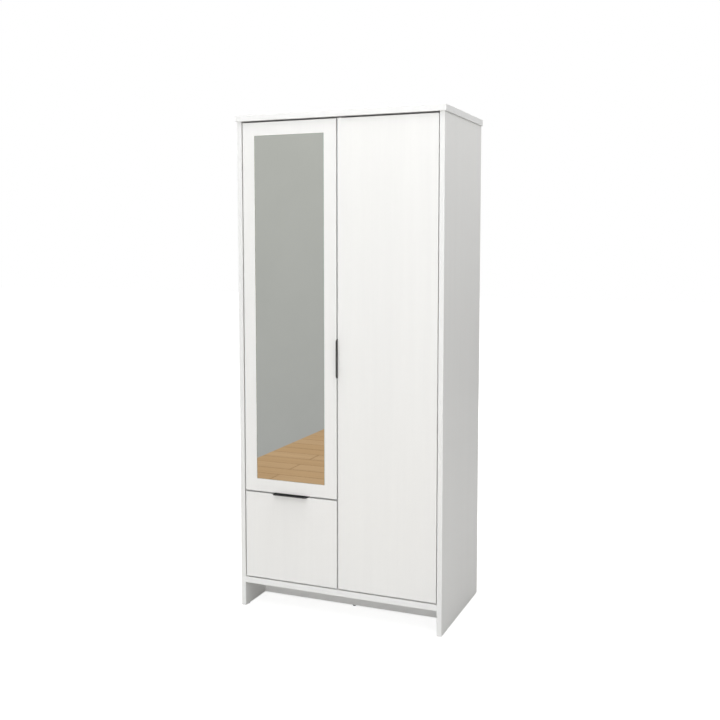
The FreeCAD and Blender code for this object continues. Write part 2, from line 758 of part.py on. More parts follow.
def make_runners():
    track, centre_z = runner_levels()
    s = runner_sheet
    y0 = y_front_back + runner_front_setback
    y1 = y0 + drawer_depth
    under_flange = track + 2.0 * (roller_radius + roller_clearance)
    over_flange = under_flange + s + capture_gap
    z_side = z_drawer_side
    edge = runner_gap
    sides = (("left", -x_inner, 1.0, "left_side_panel", "drawer_side_left"),
             ("right", -x_divider, -1.0, "centre_divider", "drawer_side_right"))
    for name, x_wall, inward, wall, box_side in sides:
        carcass = "%s_carcass_runner" % name
        runner_member(carcass, x_wall, inward,
                      [(0.0, s, track - s, over_flange + s),
                       (0.0, track_reach, track - s, track),
                       (0.0, track_reach - capture_setback, over_flange, over_flange + s)], y0, y1)
        drawer = "%s_drawer_runner" % name
        runner_member(drawer, x_wall, inward,
                      [(edge - s, edge, z_side - s, under_flange + s),
                       (edge - s, edge + runner_flange, z_side - s, z_side),
                       (s + hook_clearance, edge, under_flange, under_flange + s)],
                      y_front_back, y_front_back + drawer_depth)
        along = X * inward
        # The front roller turns on the carcass, and the rear one on the drawer.
        near = s + carcass_roller_wall_space
        y_carcass_roller = y0 + roller_end_distance
        y_drawer_roller = y_front_back + drawer_depth - roller_end_distance
        face = Vector(x_wall + inward * near, y_carcass_roller, centre_z)
        add_roller("carcass_rollers", carcass, face, along, near - s / 2.0)
        far = edge - s - drawer_roller_inner_space
        face = Vector(x_wall + inward * far, y_drawer_roller, centre_z)
        add_roller("drawer_rollers", drawer, face, -along, edge - s / 2.0 - far)
        for share in runner_wall_screw_shares:
            seat = Vector(x_wall + inward * s, y0 + drawer_depth * share, centre_z)
            screw("carcass_screws", seat, -along, [carcass, wall])
        for share in runner_box_screw_shares:
            # These stay between the box side's outer face and the groove for the drawer bottom.
            x = x_wall + inward * (edge + (drawer_side_thickness - drawer_groove_depth) / 2.0)
            seat = Vector(x, y_front_back + drawer_depth * share, z_side - s)
            screw("drawer_screws", seat, Z, [drawer, box_side])


def add_roller(roller_node, runner_node, near_face, along, reach):
    """A roller on a stub axle with a flat head. The axle is one piece with its runner."""
    bore = roller_axle_radius + roller_clearance
    add(roller_node, tube(near_face, along, roller_radius, bore, roller_width))
    length = reach + roller_width + roller_clearance
    axle = rod(near_face - along * reach, along, roller_axle_radius, length)
    head_start = near_face + along * (roller_width + roller_clearance)
    head = rod(head_start, along, roller_rivet_radius, roller_rivet_height)
    runner = pieces[runner_node].pop()
    pieces[runner_node].append(runner.fuse([axle, head]))


def hinge_shapes(gap):
    """The pieces of a right-hand hinge about its pin, with the side panel a gap away from the door, at +X."""
    wall = gap + hinge_pin_edge_distance
    back = front_thickness - hinge_pin_depth
    cup_x = hinge_pin_edge_distance - cup_edge_distance - cup_radius
    floor = back - cup_depth
    # Cup, pressed into the door
    shell = rod(Vector(cup_x, floor, 0), Y, cup_radius, cup_depth)
    flange = rod(Vector(cup_x, back, 0), Y, cup_radius + cup_flange_rim, cup_flange_thickness)
    wing_x = cup_x - cup_wing_offset
    wings = box(wing_x - cup_wing_width / 2.0, wing_x + cup_wing_width / 2.0, back,
                back + cup_flange_thickness, -cup_wing_length / 2.0, cup_wing_length / 2.0)
    wings = rounded(wings, Y, cup_wing_round)
    hollow = rod(Vector(cup_x, floor + cup_wall, 0), Y, cup_radius - cup_wall, cup_depth * 2.0)
    pin_half = math.sqrt(cup_radius ** 2 - (abs(cup_x) + hinge_pin_radius) ** 2)
    pin = rod(Vector(0, 0, -pin_half), Z, hinge_pin_radius, 2.0 * pin_half)
    pin_way = rod(Vector(0, 0, -pin_half), Z, hinge_pin_radius + pin_fit, 2.0 * pin_half)
    # Two ears inside the cup carry the pin's ends
    ear = eye_radius + ear_wall
    ear_start = arm_nose_width / 2.0 + ear_clearance
    ears = [box(-ear, ear, floor, ear, side * ear_start, side * cup_radius).common(shell)
            for side in (-1.0, 1.0)]
    cup = shell.fuse([flange, wings]).cut(hollow).fuse(ears).cut(pin_way)
    cup_hole = rod(Vector(cup_x, floor - cup_fit, 0), Y, cup_radius + cup_fit, cup_depth * 2.0)
    # Arm, which goes round the door's rear corner on an arc about the pin
    corner = math.hypot(hinge_pin_edge_distance, back)
    arc_in = corner + arm_corner_clearance
    arc_out = arc_in + arm_thickness
    arm_x1 = wall - plate_block_thickness
    arm_x0 = arm_x1 - arm_thickness
    half_nose = arm_nose_width / 2.0
    end_angle = math.degrees(math.acos(arm_x0 / arc_in))
    sweep = 180.0 - arm_start_angle - end_angle
    ring = Part.makeCylinder(arc_out, arm_nose_width, Vector(0, 0, -half_nose), Z, sweep)
    ring = ring.cut(rod(Vector(0, 0, -arm_nose_width), Z, arc_in, 2.0 * arm_nose_width))
    ring.rotate(Vector(0, 0, 0), Z, end_angle)
    bar = box(0, arc_out - arm_overlap, -arm_thickness / 2.0, arm_thickness / 2.0,
              -half_nose, half_nose)
    bar.rotate(Vector(0, 0, 0), Z, 180.0 - arm_start_angle)
    eye = rod(Vector(0, 0, -half_nose), Z, eye_radius, arm_nose_width)
    arm_start = arc_in * math.sin(math.radians(end_angle)) - arm_overlap
    strip_start = arm_start + arm_thickness
    line = back + plate_line_clearance
    arm_end = line + arm_tail
    strip = box(arm_x0, arm_x1, arm_start, arm_end, -half_nose, half_nose)
    wide = box(arm_x0, arm_x1, strip_start + arm_nose_width, arm_end, -arm_width / 2.0, arm_width / 2.0)
    wide = rounded(wide, X, arm_thickness)
    bore = rod(Vector(0, 0, -arm_nose_width), Z, hinge_pin_radius + hinge_pin_clearance,
               2.0 * arm_nose_width)
    arm = eye.fuse([bar, ring, strip, wide]).cut(bore).removeSplitter()
    # Mounting plate on the side panel
    block = box(arm_x1, wall, line - plate_block_front, line + plate_block_back,
                -arm_width / 2.0, arm_width / 2.0)
    wing = box(wall - plate_wing_thickness, wall, line - plate_wing_width / 2.0,
               line + plate_wing_width / 2.0, -plate_wing_length / 2.0, plate_wing_length / 2.0)
    wing = rounded(wing, X, plate_wing_round)
    plate = block.fuse(wing).removeSplitter()
    # Adjusting screws through the arm into the plate's block
    adjusters = []
    ways = []
    length = arm_thickness + plate_block_thickness - adjusting_screw_end_gap
    way_radius = adjusting_screw_radius + adjusting_screw_clearance
    for number in (-0.5, 0.5):
        y = line + (plate_block_back - plate_block_front) / 2.0 + adjusting_screw_spacing * number
        seat = Vector(arm_x0, y, 0)
        top = seat - X * adjusting_head_height
        head = rod(top, X, adjusting_head_radius, adjusting_head_height)
        head = head.cut(cross_recess(top, X, adjusting_head_radius, adjusting_drive_depth))
        adjusters.append(head.fuse(rod(seat, X, adjusting_screw_radius, length)))
        ways.append(rod(seat - X * drill_allowance, X, way_radius,
                        length + drill_allowance + adjusting_screw_clearance))
    return {"cup": cup, "pin": pin, "cup_hole": cup_hole, "arm": arm.cut(ways), "plate": plate.cut(ways),
            "adjusters": adjusters, "cup_x": cup_x, "back": back, "wall": wall, "line": line}


def placed(solid, side, origin):
    """A right-hand hinge piece at its place, mirrored for the left side of the carcass."""
    shape = solid.copy() if side > 0 else solid.mirror(Vector(0, 0, 0), X)
    shape.translate(origin)
    return shape


def make_hinges():
    shelves = shelf_heights()
    mirror_heights = [z_mirror_door_bottom + hinge_end_distance,
                      (shelves[-2] + shelves[-1] + shelf_thickness) / 2.0,
                      z_door_top - hinge_end_distance]
    span = z_door_top - z_door_bottom - 2.0 * hinge_end_distance
    right_heights = [z_door_bottom + hinge_end_distance + span * n / (right_door_hinges - 1)
                     for n in range(right_door_hinges)]
    doors = ((-1, "mirror_door", "left_side_panel", x_left_outer, left_gap, mirror_heights),
             (1, "right_door", "right_side_panel", x_right_outer, right_gap, right_heights))
    for side, door, panel, outer, gap, heights in doors:
        shapes = hinge_shapes(gap)
        for z in heights:
            axis = Vector(outer - side * hinge_pin_edge_distance, y_front + hinge_pin_depth, z)
            for key, node in (("cup", door + "_hinge_cups"), ("pin", door + "_hinge_pins"),
                              ("arm", door + "_hinge_arms"), ("plate", "hinge_plates")):
                add(node, placed(shapes[key], side, axis))
            for adjuster in shapes["adjusters"]:
                add("hinge_adjusting_screws", placed(adjuster, side, axis))
            drill(door + "_panel", placed(shapes["cup_hole"], side, axis))
            for half in (-0.5, 0.5):
                x = side * (shapes["cup_x"] - cup_screw_offset)
                y = shapes["back"] + cup_flange_thickness
                seat = axis + Vector(x, y, cup_screw_spacing * half)
                screw(door + "_screws", seat, -Y, [door + "_hinge_cups", door + "_panel"])
                x = side * (shapes["wall"] - plate_wing_thickness)
                seat = axis + Vector(x, shapes["line"], plate_screw_spacing * half)
                screw("carcass_screws", seat, X * side, ["hinge_plates", panel])


def finished(node):
    """The node's solids with their holes cut, as one shape."""
    solids = []
    for solid in pieces[node]:
        box_of_solid = solid.BoundBox
        tools = [tool for tool in drillings.get(node, []) if box_of_solid.intersect(tool.BoundBox)]
        if tools:
            solid = solid.cut(tools)
        solids.extend(solid.Solids)
    if len(solids) == 1:
        return solids[0]
    return Part.makeCompound(solids)


def build():
    make_carcass_boards()
    join_carcass_boards()
    make_back()
    make_adjustable_shelves()
    make_hanging_rail()
    make_foot_glides()
    make_wall_brackets()
    make_door_bumpers()
    make_mirror_door()
    make_right_door()
    make_drawer_front()
    make_drawer_box()
    make_runners()
    make_hinges()
    os.makedirs("parts", exist_ok=True)
    for node in sorted(pieces):
        shape = finished(node)
        shape.exportStep("parts/%s.step" % node)
        print("%-28s %3d solids  %8.1f cm3" % (node, len(shape.Solids), shape.Volume / 1000.0))


build()
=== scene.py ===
import json
import math

import bmesh
import bpy
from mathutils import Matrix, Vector


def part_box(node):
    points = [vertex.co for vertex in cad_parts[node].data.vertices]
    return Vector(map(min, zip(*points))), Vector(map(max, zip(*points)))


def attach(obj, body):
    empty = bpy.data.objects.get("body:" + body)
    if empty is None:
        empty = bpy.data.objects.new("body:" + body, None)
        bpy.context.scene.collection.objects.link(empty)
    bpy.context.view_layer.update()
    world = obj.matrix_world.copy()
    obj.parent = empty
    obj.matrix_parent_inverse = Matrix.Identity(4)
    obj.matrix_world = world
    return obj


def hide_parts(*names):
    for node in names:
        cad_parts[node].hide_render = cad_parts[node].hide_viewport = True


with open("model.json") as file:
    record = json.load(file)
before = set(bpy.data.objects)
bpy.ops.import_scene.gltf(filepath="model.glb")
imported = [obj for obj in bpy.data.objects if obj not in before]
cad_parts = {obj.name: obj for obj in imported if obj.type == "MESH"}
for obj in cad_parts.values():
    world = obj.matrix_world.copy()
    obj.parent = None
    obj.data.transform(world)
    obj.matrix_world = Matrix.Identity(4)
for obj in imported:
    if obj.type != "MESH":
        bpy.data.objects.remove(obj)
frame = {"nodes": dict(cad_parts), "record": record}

scene = bpy.context.scene
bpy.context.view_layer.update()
nodes = frame["nodes"]
slotOf = {part["node"]: part["material_slot"] for part in frame["record"]["subparts"]}
print("wardrobe: frame loaded,", len(nodes), "nodes")

# camera, eye height, a little right of the wardrobe
cameraView = {
    "place": (1.3523, -3.2982, 1.3663),
    "tilt": 0.08,        # downward, radians
    "turn": 0.3897,
    "lens": 47.576,
    "sensor": 36.0,
    "shiftY": -0.0556,
    "reach": 60.0,
}
cameraData = bpy.data.cameras.new("frontCamera")
cameraData.lens = cameraView["lens"]
cameraData.sensor_width = cameraView["sensor"]
cameraData.shift_y = cameraView["shiftY"]
cameraData.clip_end = cameraView["reach"]
cameraData.dof.use_dof = False
camera = bpy.data.objects.new("frontCamera", cameraData)
camera.location = cameraView["place"]
camera.rotation_euler = (math.pi / 2 - cameraView["tilt"], 0.0, cameraView["turn"])
scene.collection.objects.link(camera)
scene.camera = camera
scene.view_settings.view_transform = "Standard"   # plain whites, no film curve


# small helpers for node trees
def openMaterial(name):
    material = bpy.data.materials.new(name)
    material.use_nodes = True
    tree = material.node_tree
    tree.nodes.clear()
    out = addNode(tree, "ShaderNodeOutputMaterial", 900, 0)
    return material, tree, out


def addNode(tree, kind, x, y, **settings):
    node = tree.nodes.new(kind)
    node.location = (x, y)
    for key, value in settings.items():
        setattr(node, key, value)
    return node


def feed(tree, target, source):
    # a socket is wired, a plain value is typed in
    if isinstance(source, bpy.types.NodeSocket):
        tree.links.new(source, target)
    else:
        target.default_value = source


def mathNode(tree, operation, first, second, x, y, clamp=False):
    node = addNode(tree, "ShaderNodeMath", x, y, operation=operation, use_clamp=clamp)
    feed(tree, node.inputs[0], first)
    feed(tree, node.inputs[1], second)
    return node.outputs[0]


def absoluteNode(tree, value, x, y):
    node = addNode(tree, "ShaderNodeMath", x, y, operation="ABSOLUTE")
    feed(tree, node.inputs[0], value)
    return node.outputs[0]


def rangeNode(tree, value, given, wanted, x, y):
    # given and wanted are each a low and a high
    node = addNode(tree, "ShaderNodeMapRange", x, y)
    feed(tree, node.inputs["Value"], value)
    for label, number in zip(("From Min", "From Max", "To Min", "To Max"), (*given, *wanted)):
        feed(tree, node.inputs[label], number)
    return node.outputs["Result"]


def mixColour(tree, factor, first, second, x, y, blend="MIX"):
    node = addNode(tree, "ShaderNodeMix", x, y, data_type="RGBA", blend_type=blend)
    feed(tree, node.inputs["Factor"], factor)
    feed(tree, node.inputs["A"], first)
    feed(tree, node.inputs["B"], second)
    return node.outputs["Result"]


def mixValue(tree, factor, first, second, x, y):
    node = addNode(tree, "ShaderNodeMix", x, y, data_type="FLOAT")
    feed(tree, node.inputs["Factor"], factor)
    feed(tree, node.inputs["A"], first)
    feed(tree, node.inputs["B"], second)
    return node.outputs["Result"]


def noiseNode(tree, vector, x, y, scale, detail=2.0, roughness=0.5, distortion=0.0):
    node = addNode(tree, "ShaderNodeTexNoise", x, y)
    feed(tree, node.inputs["Vector"], vector)
    feed(tree, node.inputs["Scale"], scale)
    feed(tree, node.inputs["Detail"], detail)
    feed(tree, node.inputs["Roughness"], roughness)
    feed(tree, node.inputs["Distortion"], distortion)
    return node.outputs["Fac"]


def vectorNode(tree, operation, first, second, output, x, y):
    node = addNode(tree, "ShaderNodeVectorMath", x, y, operation=operation)
    feed(tree, node.inputs[0], first)
    feed(tree, node.inputs[1], second)
    return node.outputs[output]


def startGroup(name, inputs, outputs):
    group = bpy.data.node_groups.new(name, "ShaderNodeTree")
    for label, kind, value in inputs:
        socket = group.interface.new_socket(label, in_out="INPUT", socket_type="NodeSocket" + kind)
        socket.default_value = value
    for label, kind in outputs:
        group.interface.new_socket(label, in_out="OUTPUT", socket_type="NodeSocket" + kind)
    entry = addNode(group, "NodeGroupInput", -1100, 0)
    leave = addNode(group, "NodeGroupOutput", 700, 0)
    return group, entry.outputs, leave.inputs


def placeGroup(tree, group, x, y, **values):
    node = addNode(tree, "ShaderNodeGroup", x, y, node_tree=group)
    for label, value in values.items():
        feed(tree, node.inputs[label], value)
    return node.outputs


wholeRange = (0.0, 1.0)
streakRange = (0.3, 0.7)   # where most of a grain's or a cloud's values lie

# the printed foil's grain: long faint streaks with short pores pressed into them
grainLook = {
    "broadScale": 0.45,
    "broadShare": 0.6,
    "fineScale": 3.2,
    "fineShare": 0.4,
    "poreScale": 9.0,
    "poreRange": (0.58, 0.7),
    "poreShade": 0.15,
}


def makeFoilGrain():
    look = grainLook
    group, given, result = startGroup(
        "foilGrain",
        [("Place", "Vector", (0, 0, 0)), ("Stretch", "Vector", (60, 60, 2)), ("Pores", "Float", 0.5)],
        [("Streak", "Float"), ("Height", "Float")],
    )
    run = vectorNode(group, "MULTIPLY", given["Place"], given["Stretch"], 0, -900, 100)
    broad = noiseNode(group, run, -600, 250, look["broadScale"], detail=3.0, roughness=0.6, distortion=0.35)
    fine = noiseNode(group, run, -600, 0, look["fineScale"], detail=4.0, roughness=0.65, distortion=0.15)
    pores = noiseNode(group, run, -600, -250, look["poreScale"])
    poreMask = rangeNode(group, pores, look["poreRange"], wholeRange, -350, -250)
    broad = mathNode(group, "MULTIPLY", broad, look["broadShare"], -350, 250)
    streak = mathNode(group, "MULTIPLY", fine, look["fineShare"], -350, 50)
    streak = mathNode(group, "ADD", broad, streak, -150, 150)
    sunk = mathNode(group, "MULTIPLY", poreMask, given["Pores"], -150, -200)
    shade = mathNode(group, "MULTIPLY", sunk, look["poreShade"], 50, -50)
    feed(group, result["Streak"], mathNode(group, "SUBTRACT", streak, shade, 250, 100))
    feed(group, result["Height"], mathNode(group, "SUBTRACT", fine, sunk, 250, -150))
    return group


# raw ends of a board: 0 where the face lies across the board's thickness, 1 on its ends and in its holes
endLook = {
    "light": (0.72, 0.58, 0.41, 1),
    "dark": (0.36, 0.25, 0.15, 1),
    "faceRange": (0.55, 0.75),
    "flakeRange": (0.05, 0.5),
    "dustFiner": 3.0,        # times the flakes' scale
}


def makeBoardEnds():
    look = endLook
    group, given, result = startGroup(
        "boardEnds",
        [("Place", "Vector", (0, 0, 0)), ("Facing", "Vector", (0, 0, 0)), ("Thin", "Vector", (1, 0, 0)),
         ("Chip", "Float", 260.0), ("Light", "Color", look["light"]), ("Dark", "Color", look["dark"])],
        [("End", "Float"), ("Colour", "Color"), ("Height", "Float")],
    )
    facing = vectorNode(group, "DOT_PRODUCT", given["Facing"], given["Thin"], "Value", -850, 250)
    flat = absoluteNode(group, facing, -650, 250)
    feed(group, result["End"], rangeNode(group, flat, look["faceRange"], (1.0, 0.0), -450, 250))
    flakes = addNode(group, "ShaderNodeTexVoronoi", -850, -50)
    feed(group, flakes.inputs["Vector"], given["Place"])
    feed(group, flakes.inputs["Scale"], given["Chip"])
    shade = addNode(group, "ShaderNodeSeparateColor", -650, -50)
    feed(group, shade.inputs[0], flakes.outputs["Color"])
    dustScale = mathNode(group, "MULTIPLY", given["Chip"], look["dustFiner"], -850, -300)
    dust = noiseNode(group, given["Place"], -650, -300, dustScale, detail=3.0, roughness=0.6)
    flake = mathNode(group, "MULTIPLY", shade.outputs[0], dust, -400, -150)
    tone = rangeNode(group, flake, look["flakeRange"], wholeRange, -200, -100)
    feed(group, result["Colour"], mixColour(group, tone, given["Dark"], given["Light"], 50, 0))
    feed(group, result["Height"], mathNode(group, "ADD", flake, flakes.outputs["Distance"], 50, -200))
    return group


# handling marks: cloudy smears with a few fine hairlines, used to vary gloss
marksLook = {
    "hairFiner": 22.0,       # times the smears' scale
    "hairWidth": 0.012,
    "hairShare": 0.25,
    "middle": 0.5,
}


def makeHandling():
    look = marksLook
    group, given, result = startGroup(
        "handlingMarks",
        [("Place", "Vector", (0, 0, 0)), ("Size", "Float", 8.0), ("Base", "Float", 0.4),
         ("Spread", "Float", 0.06)],
        [("Gloss", "Float"), ("Mask", "Float")],
    )
    cloud = noiseNode(group, given["Place"], -700, 150, given["Size"], detail=4.0, roughness=0.6,
                      distortion=0.4)
    hairScale = mathNode(group, "MULTIPLY", given["Size"], look["hairFiner"], -900, -100)
    hair = noiseNode(group, given["Place"], -700, -100, hairScale, detail=1.0, roughness=0.4,
                     distortion=3.0)
    away = absoluteNode(group, mathNode(group, "SUBTRACT", hair, look["middle"], -500, -100), -350, -100)
    line = rangeNode(group, away, (0.0, look["hairWidth"]), (1.0, 0.0), -200, -100)
    line = mathNode(group, "MULTIPLY", line, look["hairShare"], 0, -100)
    mask = mathNode(group, "ADD", cloud, line, 150, 50)
    feed(group, result["Mask"], mask)
    shift = mathNode(group, "SUBTRACT", mask, look["middle"], 250, 50)
    shift = mathNode(group, "MULTIPLY", shift, given["Spread"], 350, 50)
    feed(group, result["Gloss"], mathNode(group, "ADD", given["Base"], shift, 500, 50, clamp=True))
    return group


# sprayed or moulded skin: soft orange peel over a finer tooth
def makeSkin():
    group, given, result = startGroup(
        "coatedSkin",
        [("Place", "Vector", (0, 0, 0)), ("Peel", "Float", 700.0), ("Tooth", "Float", 3000.0),
         ("Mix", "Float", 0.3)],
        [("Height", "Float"), ("Mask", "Float")],
    )
    peel = noiseNode(group, given["Place"], -600, 150, given["Peel"], roughness=0.45)
    tooth = noiseNode(group, given["Place"], -600, -100, given["Tooth"])
    feed(group, result["Height"], mixValue(group, given["Mix"], peel, tooth, -300, 50))
    feed(group, result["Mask"], rangeNode(group, peel, (0.35, 0.65), wholeRange, -300, 250))
    return group


# rolled or drawn metal: fine lines that follow one direction, under a broader cloud
def makeDrawnLines():
    group, given, result = startGroup(
        "drawnLines",
        [("Place", "Vector", (0, 0, 0)), ("Stretch", "Vector", (40, 2000, 2000))],
        [("Line", "Float"), ("Cloud", "Float")],
    )
    run = vectorNode(group, "MULTIPLY", given["Place"], given["Stretch"], 0, -900, 100)
    line = noiseNode(group, run, -600, 100, scale=1.0, detail=3.0, roughness=0.6)
    cloud = noiseNode(group, given["Place"], -600, -150, scale=60.0, detail=3.0, roughness=0.55)
    feed(group, result["Line"], line)
    feed(group, result["Cloud"], cloud)
    return group


foilGrain = makeFoilGrain()
boardEnds = makeBoardEnds()
handlingMarks = makeHandling()
coatedSkin = makeSkin()
drawnLines = makeDrawnLines()
print("wardrobe: shared effects ready")


def startSurface(name, ior=1.5, metallic=0.0):
    # a Principled surface whose even values sit on its own sockets
    material, tree, out = openMaterial(name)
    surface = addNode(tree, "ShaderNodeBsdfPrincipled", 600, 0)
    surface.inputs["IOR"].default_value = ior
    surface.inputs["Metallic"].default_value = metallic
    tree.links.new(surface.outputs[0], out.inputs[0])
    where = addNode(tree, "ShaderNodeTexCoord", -1100, 0)
    return material, tree, surface.inputs, where.outputs


def addRelief(tree, surface, height, distance):
    bump = addNode(tree, "ShaderNodeBump", 350, -300)
    bump.inputs["Strength"].default_value = 1.0
    bump.inputs["Distance"].default_value = distance
    feed(tree, bump.inputs["Height"], height)
    feed(tree, surface["Normal"], bump.outputs[0])


# white foil boards; the grain runs along the board, the unbanded ends and the holes show chipboard
boardFoil = {
    "bright": (0.903, 0.9, 0.885, 1),
    "soft": (0.873, 0.87, 0.857, 1),
    "gloss": 0.42,
    "spread": 0.1,
    "smears": 5.0,
    "pores": 0.5,
    "chip": 260.0,
    "rawGloss": 0.85,
    "relief": 0.00012,
    "ior": 1.48,
}


def makeBoard(name, thin, stretch, look):
    material, tree, surface, where = startSurface(name, look["ior"])
    grain = placeGroup(tree, foilGrain, -700, 200, Place=where["Object"], Stretch=stretch,
                       Pores=look["pores"])
    ends = placeGroup(tree, boardEnds, -700, -150, Place=where["Object"], Facing=where["Normal"],
                      Thin=thin, Chip=look["chip"])
    marks = placeGroup(tree, handlingMarks, -700, -450, Place=where["Object"], Size=look["smears"],
                       Base=look["gloss"], Spread=look["spread"])
    tone = rangeNode(tree, grain["Streak"], streakRange, wholeRange, -450, 250)
    foil = mixColour(tree, tone, look["soft"], look["bright"], -200, 250)
    gloss = mixValue(tree, ends["End"], marks["Gloss"], look["rawGloss"], 100, -100)
    relief = mixValue(tree, ends["End"], grain["Height"], ends["Height"], 100, -300)
    feed(tree, surface["Base Color"], mixColour(tree, ends["End"], foil, ends["Colour"], 100, 150))
    feed(tree, surface["Roughness"], gloss)
    addRelief(tree, surface, relief, look["relief"])
    return material


# how close the grain packs along x, y and z
grainRun = {
    "upright": (55.0, 55.0, 1.6),
    "level": (1.6, 55.0, 55.0),
    "inward": (55.0, 1.6, 55.0),
}
boardFinish = {
    "x": makeBoard("boardThinAcross", (1, 0, 0), grainRun["upright"], boardFoil),
    "y": makeBoard("boardThinDeep", (0, 1, 0), grainRun["upright"], boardFoil),
    "z": makeBoard("boardThinUp", (0, 0, 1), grainRun["level"], boardFoil),
}

drawerFoil = {
    "bright": (0.88, 0.88, 0.865, 1),
    "soft": (0.85, 0.85, 0.838, 1),
    "gloss": 0.5,
    "spread": 0.1,
    "smears": 5.0,
    "pores": 0.15,
    "chip": 520.0,
    "rawGloss": 0.85,
    "relief": 0.00006,
    "ior": 1.48,
}
drawerFinish = {   # the foil wraps over the top and bottom edges too
    "x": makeBoard("drawerThinAcross", (1, 0, 1), grainRun["inward"], drawerFoil),
    "y": makeBoard("drawerThinDeep", (0, 1, 1), grainRun["level"], drawerFoil),
}

# edge band: the same white, a touch cooler and smoother, with its own faint run
bandLook = {
    "bright": (0.9, 0.901, 0.892, 1),
    "soft": (0.868, 0.87, 0.862, 1),
    "gloss": 0.34,
    "spread": 0.1,
    "smears": 9.0,
    "pores": 0.2,
    "stretch": (70.0, 70.0, 4.0),
    "relief": 0.00005,
    "ior": 1.5,
}


def makeEdgeBand():
    look = bandLook
    material, tree, surface, where = startSurface("edgeBand", look["ior"])
    grain = placeGroup(tree, foilGrain, -700, 200, Place=where["Object"], Stretch=look["stretch"],
                       Pores=look["pores"])
    marks = placeGroup(tree, handlingMarks, -700, -200, Place=where["Object"], Size=look["smears"],
                       Base=look["gloss"], Spread=look["spread"])
    tone = rangeNode(tree, grain["Streak"], streakRange, wholeRange, -400, 200)
    feed(tree, surface["Base Color"], mixColour(tree, tone, look["soft"], look["bright"], -100, 200))
    feed(tree, surface["Roughness"], marks["Gloss"])
    addRelief(tree, surface, grain["Height"], look["relief"])
    return material


# thin back board: white on the inside, brown pressed fibre on the outside
hardboardLook = {
    "fibreDark": (0.2, 0.115, 0.06, 1),
    "fibreLight": (0.42, 0.27, 0.16, 1),
    "patch": (0.5, 0.35, 0.22, 1),
    "patchShare": 0.35,
    "whiteSoft": (0.83, 0.83, 0.815, 1),
    "whiteBright": (0.87, 0.87, 0.857, 1),
    "rawGloss": 0.8,
    "whiteGloss": 0.45,
    "fibreScale": 420.0,
    "patchScale": 9.0,
    "relief": 0.00015,
    "ior": 1.45,
}


def makeHardboard(name, whiteSide):
    look = hardboardLook
    material, tree, surface, where = startSurface(name, look["ior"])
    facing = vectorNode(tree, "DOT_PRODUCT", where["Normal"], whiteSide, "Value", -850, 350)
    lacquered = rangeNode(tree, facing, (0.4, 0.6), wholeRange, -600, 350)
    fibre = noiseNode(tree, where["Object"], -850, 50, look["fibreScale"], detail=5.0, roughness=0.75,
                      distortion=1.5)
    patch = noiseNode(tree, where["Object"], -850, -150, look["patchScale"], detail=3.0, roughness=0.6)
    fibreTone = rangeNode(tree, fibre, streakRange, wholeRange, -600, 50)
    patchTone = rangeNode(tree, patch, (0.35, 0.65), (0.0, look["patchShare"]), -600, -150)
    whiteTone = rangeNode(tree, patch, streakRange, wholeRange, -600, 200)
    brown = mixColour(tree, fibreTone, look["fibreDark"], look["fibreLight"], -350, 50)
    brown = mixColour(tree, patchTone, brown, look["patch"], -150, 0)
    white = mixColour(tree, whiteTone, look["whiteSoft"], look["whiteBright"], -350, 250)
    gloss = rangeNode(tree, lacquered, wholeRange, (look["rawGloss"], look["whiteGloss"]), -150, -200)
    feed(tree, surface["Base Color"], mixColour(tree, lacquered, brown, white, 150, 150))
    feed(tree, surface["Roughness"], gloss)
    addRelief(tree, surface, fibre, look["relief"])
    return material


# mirror: silvered front, green ground edge, grey paint behind
mirrorLook = {
    "silverSoft": (0.885, 0.9, 0.88, 1),
    "silverBright": (0.92, 0.935, 0.915, 1),
    "groundEdge": (0.3, 0.47, 0.4, 1),
    "backPaint": (0.22, 0.24, 0.25, 1),
    "frontRange": (-0.97, -0.99),   # only the flat front is silvered, not its arris
    "backRange": (0.75, 0.85),
    "smears": 4.0,
    "smearRange": (0.008, 0.03),
    "edgeGloss": 0.35,
    "ior": 1.5,
}


def makeMirror():
    look = mirrorLook
    material, tree, surface, where = startSurface("mirrorSilver", look["ior"])
    side = addNode(tree, "ShaderNodeSeparateXYZ", -800, 200)
    feed(tree, side.inputs[0], where["Normal"])
    front = rangeNode(tree, side.outputs["Y"], look["frontRange"], wholeRange, -600, 250)
    behind = rangeNode(tree, side.outputs["Y"], look["backRange"], wholeRange, -600, 0)
    haze = noiseNode(tree, where["Object"], -800, -150, look["smears"], detail=4.0, roughness=0.6,
                     distortion=0.3)
    hazeTone = rangeNode(tree, haze, streakRange, wholeRange, -600, -150)
    silver = mixColour(tree, hazeTone, look["silverSoft"], look["silverBright"], -350, -100)
    ground = mixColour(tree, front, look["groundEdge"], silver, -100, 100)
    smear = rangeNode(tree, haze, (0.35, 0.75), look["smearRange"], -350, -300)
    feed(tree, surface["Base Color"], mixColour(tree, behind, ground, look["backPaint"], 150, 100))
    feed(tree, surface["Metallic"], front)
    feed(tree, surface["Roughness"], mixValue(tree, front, look["edgeGloss"], smear, 100, -200))
    return material


